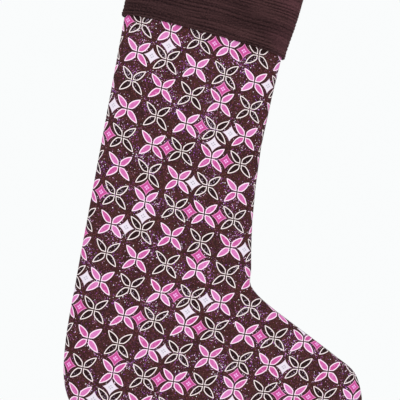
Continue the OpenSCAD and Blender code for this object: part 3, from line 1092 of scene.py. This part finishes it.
def add_facing(side, material):
    """The plain cloth behind the outside of the cuff."""
    height = np.linspace(0.8, RIM_CENTRE - 0.5, 60)[:, None]
    s = across(LAYER_COLUMNS)[None, :]
    level = height + edge_rise(height, s)
    outside, inside = (cuff_points(level, depth, s) for depth in FACING)
    piece = add_shell("facing_" + side, outside, inside, side, {"Cloth": outside[..., [0, 2]]})
    dress(piece, material, "facing_cotton", "cuff_facing_" + side)
    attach(piece, BOOT_BODY)


# ---------- the strap loop ----------

BEND_SPAN = 5.0
HINGE = np.array([0.0, -LOOP_DROP])
TAIL_WAY = np.array([-math.sin(HANG_TILT), -math.cos(HANG_TILT)])
TAIL_END = BEND_V - TAIL_TOP + TAIL_LENGTH
STITCH_LINE = STRAP_WIDTH / 2 - 1.6


def arc(centre, radius, start, end, steps):
    angles = np.linspace(start, end, steps)
    return np.array(centre) + radius * stacked(np.cos(angles), np.sin(angles))


def travel(points):
    """The way along a line of points, at each of them."""
    way = np.gradient(points, axis=0)
    return way / np.linalg.norm(way, axis=1)[:, None]


def right_hand(way):
    return stacked(way[:, 1], -way[:, 0])


def stem_line():
    """The middle of the doubled strap, from its neck round the bend at the joint to its sewn ends."""
    before = HINGE + np.array([0, BEND_SPAN])
    after = HINGE + BEND_SPAN * TAIL_WAY
    share = np.linspace(0, 1, 13)[:, None]
    bend = (1 - share) ** 2 * before + 2 * share * (1 - share) * HINGE + share ** 2 * after
    stem = np.linspace((0, NECK_Z), before, 14)[:-1]
    tail = np.linspace(after, HINGE + TAIL_END * TAIL_WAY, 18)[1:]
    return np.concatenate([stem, bend, tail])


def strap_line():
    """The strap's middle from one sewn-down end to the other, in the plane of the loop."""
    middle = stem_line()
    aside = right_hand(travel(middle)) * PLY_OFFSET
    neck = arc((NECK_X, NECK_Z), NECK_RADIUS, math.pi, math.pi / 2 + NECK_ANGLE, 16)[1:]
    left_neck = (neck * np.array([-1, 1]))[::-1]
    eye = arc((0, 0), EYE_CENTRE_RADIUS, NECK_ANGLE - math.pi / 2, 1.5 * math.pi - NECK_ANGLE, 72)[1:-1]
    up = (middle - aside)[::-1]
    down = middle + aside
    return np.concatenate([up, neck, eye, left_neck, down])


def strap_section(points_round=28):
    """The strap's cross-section: a flat pad with round edges, pinched along its line of stitches."""
    turn = np.linspace(0, 2 * np.pi, points_round, endpoint=False)
    y = STRAP_WIDTH / 2 * np.sign(np.cos(turn)) * np.abs(np.cos(turn)) ** 0.6
    pinch = 1 - 0.22 * np.exp(-((y + STITCH_LINE) / 0.7) ** 2)
    lift = STRAP_THICKNESS / 2 * np.sign(np.sin(turn)) * np.abs(np.sin(turn)) ** 0.45 * pinch
    return y, lift


def add_strap(material):
    line = strap_line()
    out = right_hand(travel(line))
    y, lift = strap_section()
    centre = line[:, None, :] + out[:, None, :] * lift[None, :, None]
    points = stacked(centre[..., 0], y, centre[..., 1]) * MM
    rows, columns = points.shape[:2]
    numbers = numbering(rows, columns, 0, False)
    faces = tube(numbers)
    faces += [tuple(numbers[0].tolist()), tuple(numbers[-1][::-1].tolist())]
    run = run_along(line)
    cloth = stacked(run[:, None], y).reshape(-1, 2)
    piece = add_mesh("strap", points.reshape(-1, 3), faces, {"Cloth": cloth})
    turn_faces_out(piece)
    dress(piece, material, "strap", "hanging_loop", "loop_tail")
    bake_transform(piece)


# ---------- stitches ----------

STITCH_LENGTH = 2.1
STITCH_STEP = 2.9
STITCH_RADIUS = 0.28
BOX_BELOW_TOP = 5
BOX_ABOVE_END = 3
BOX_INSET = 2
HEM_MARGIN = 3.0


def one_stitch(sides=6, rings=5):
    """A stitch lying along x, as points of unit length and radius, and its faces."""
    turn = np.linspace(-np.pi / 2, np.pi / 2, rings + 2)[1:-1]
    round_it = np.linspace(0, 2 * np.pi, sides, endpoint=False)
    body = [(np.sin(a), np.cos(a) ** 0.6 * np.cos(b), np.cos(a) ** 0.6 * np.sin(b))
            for a in turn for b in round_it]
    points = np.array(body + [(-1, 0, 0), (1, 0, 0)])
    numbers = numbering(rings, sides, 0, False)
    faces = tube(numbers)
    low, high = len(points) - 2, len(points) - 1
    first, last = numbers[0].tolist(), numbers[-1].tolist()
    faces += [(low, b, a) for a, b in zip(first, first[1:] + first[:1])]
    faces += [(high, a, b) for a, b in zip(last, last[1:] + last[:1])]
    return points, faces


def reached_at(distance, run, points):
    """The point that a line has reached at a distance along it."""
    return np.array([np.interp(distance, run, column) for column in points.T])


def stitches_along(line, out):
    """Places of the stitches along a line in metres: centre, way along and way out for each."""
    run = run_along(line)
    count = max(1, int(run[-1] / (STITCH_STEP * MM)))
    centres = (np.arange(count) + 0.5) * run[-1] / count
    reach = STITCH_LENGTH / 2 * MM
    for centre in centres:
        start = reached_at(centre - reach, run, line)
        end = reached_at(centre + reach, run, line)
        way = unit(end - start)
        outward = reached_at(centre, run, out)
        yield (start + end) / 2, way, unit(outward - way * (outward @ way))


def add_stitches(name, lines, material, slot, body, *nodes):
    """Rows of separate stitches, each half sunk in the cloth. lines are pairs of points and ways out."""
    shape, shape_faces = one_stitch()
    vertices, faces = [], []
    for line, out in lines:
        for centre, way, outward in stitches_along(line, out):
            turn = np.stack([way * STITCH_LENGTH / 2, outward * STITCH_RADIUS,
                             np.cross(way, outward) * STITCH_RADIUS]) * MM
            first = len(vertices) * len(shape)
            vertices.append(centre + shape @ turn)
            faces += [tuple(n + first for n in f) for f in shape_faces]
    piece = add_mesh(name, np.concatenate(vertices), faces)
    turn_faces_out(piece)
    dress(piece, material, slot, *nodes)
    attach(piece, body)


def strap_edge_line():
    """The line of stitches along the strap's outside, clear of the bend at the joint."""
    line = strap_line()
    out = right_hand(travel(line))
    keep = line[:, 1] > -LOOP_DROP + BEND_SPAN - 1
    line, out = line[keep], out[keep]
    place = line + out * (STRAP_THICKNESS / 2 - 0.1)
    points = stacked(place[:, 0], -STITCH_LINE, place[:, 1]) * MM
    return points, stacked(out[:, 0], 0.0, out[:, 1])


def box_lines():
    """The box of stitches with a cross in it that holds the strap's ends down."""
    u = BEND_U + STRAP_THICKNESS + 0.12
    top = TAIL_TOP - BOX_BELOW_TOP
    low = TAIL_TOP - TAIL_LENGTH + BOX_ABOVE_END
    y = STRAP_WIDTH / 2 - BOX_INSET
    corners = [(u, -y, low), (u, y, low), (u, y, top), (u, -y, top)]
    pairs = [(0, 1), (1, 2), (2, 3), (3, 0), (0, 2), (1, 3)]
    way_out = unit(hang(np.array([1.0, 0, 0])) - hang(np.zeros(3)))
    for a, b in pairs:
        yield hang(np.linspace(corners[a], corners[b], 12)), np.tile(way_out, (12, 1))


def mouth_line():
    """The line of stitches that holds the hem of the turned-in corduroy, all round the mouth."""
    s = across(60)[None, :]
    height = np.full_like(s, CUFF_HEIGHT - TURN_IN + HEM_MARGIN)
    front = cuff_points(height, TURNED_MIDDLE + CREST_HALF, s)[0]
    ring = np.concatenate([front, mirrored(front)[::-1]])
    centre = ring.mean(0)
    return hang(ring), hang(np.broadcast_to(centre, ring.shape)) - hang(ring)


# ---------- assembly ----------

def add_boot():
    print_look = printed_cotton()
    batting_look = batting()
    lining_look = plain_cotton("lining_cotton", (226, 200, 198), (240, 222, 220))
    for side in SEEDS:
        add_outer(side, print_look)
        add_layer("batting_" + side, "wadding_" + side, WADDING, side, batting_look, "wadding")
        add_layer("lining_panel_" + side, "lining_" + side, LINING, side, lining_look, "lining_cotton")


def add_cuffs():
    corduroy_look = corduroy()
    facing_look = plain_cotton("facing_cotton", (74, 46, 48), (92, 60, 62))
    for side in SEEDS:
        add_cuff(side, corduroy_look)
        add_facing(side, facing_look)


def add_all():
    brown_thread = thread("brown_thread", (44, 24, 26), (66, 40, 42))
    pale_thread = thread("pale_thread", (206, 178, 178), (228, 206, 204))
    strap_thread = thread("strap_thread", (92, 60, 60), (124, 86, 84))
    add_boot()
    add_cuffs()
    add_strap(strap_twill())
    add_stitches("strap_edge_stitches", [strap_edge_line()], strap_thread, "strap_thread", LOOP_BODY,
                 "loop_edge_thread")
    add_stitches("strap_box_stitches", box_lines(), strap_thread, "strap_thread", BOOT_BODY,
                 "loop_box_stitch")
    add_stitches("mouth_hem_stitches", [mouth_line()], brown_thread, "brown_thread", BOOT_BODY,
                 "mouth_seam_thread")
    kept = {
        "outer_seam_thread": brown_thread, "cuff_heel_seam_thread": brown_thread,
        "cuff_toe_seam_thread": brown_thread, "lining_seam_thread": pale_thread,
    }
    for node, material in kept.items():
        materials = frame["nodes"][node].data.materials
        materials.clear()
        materials.append(material)


add_all()
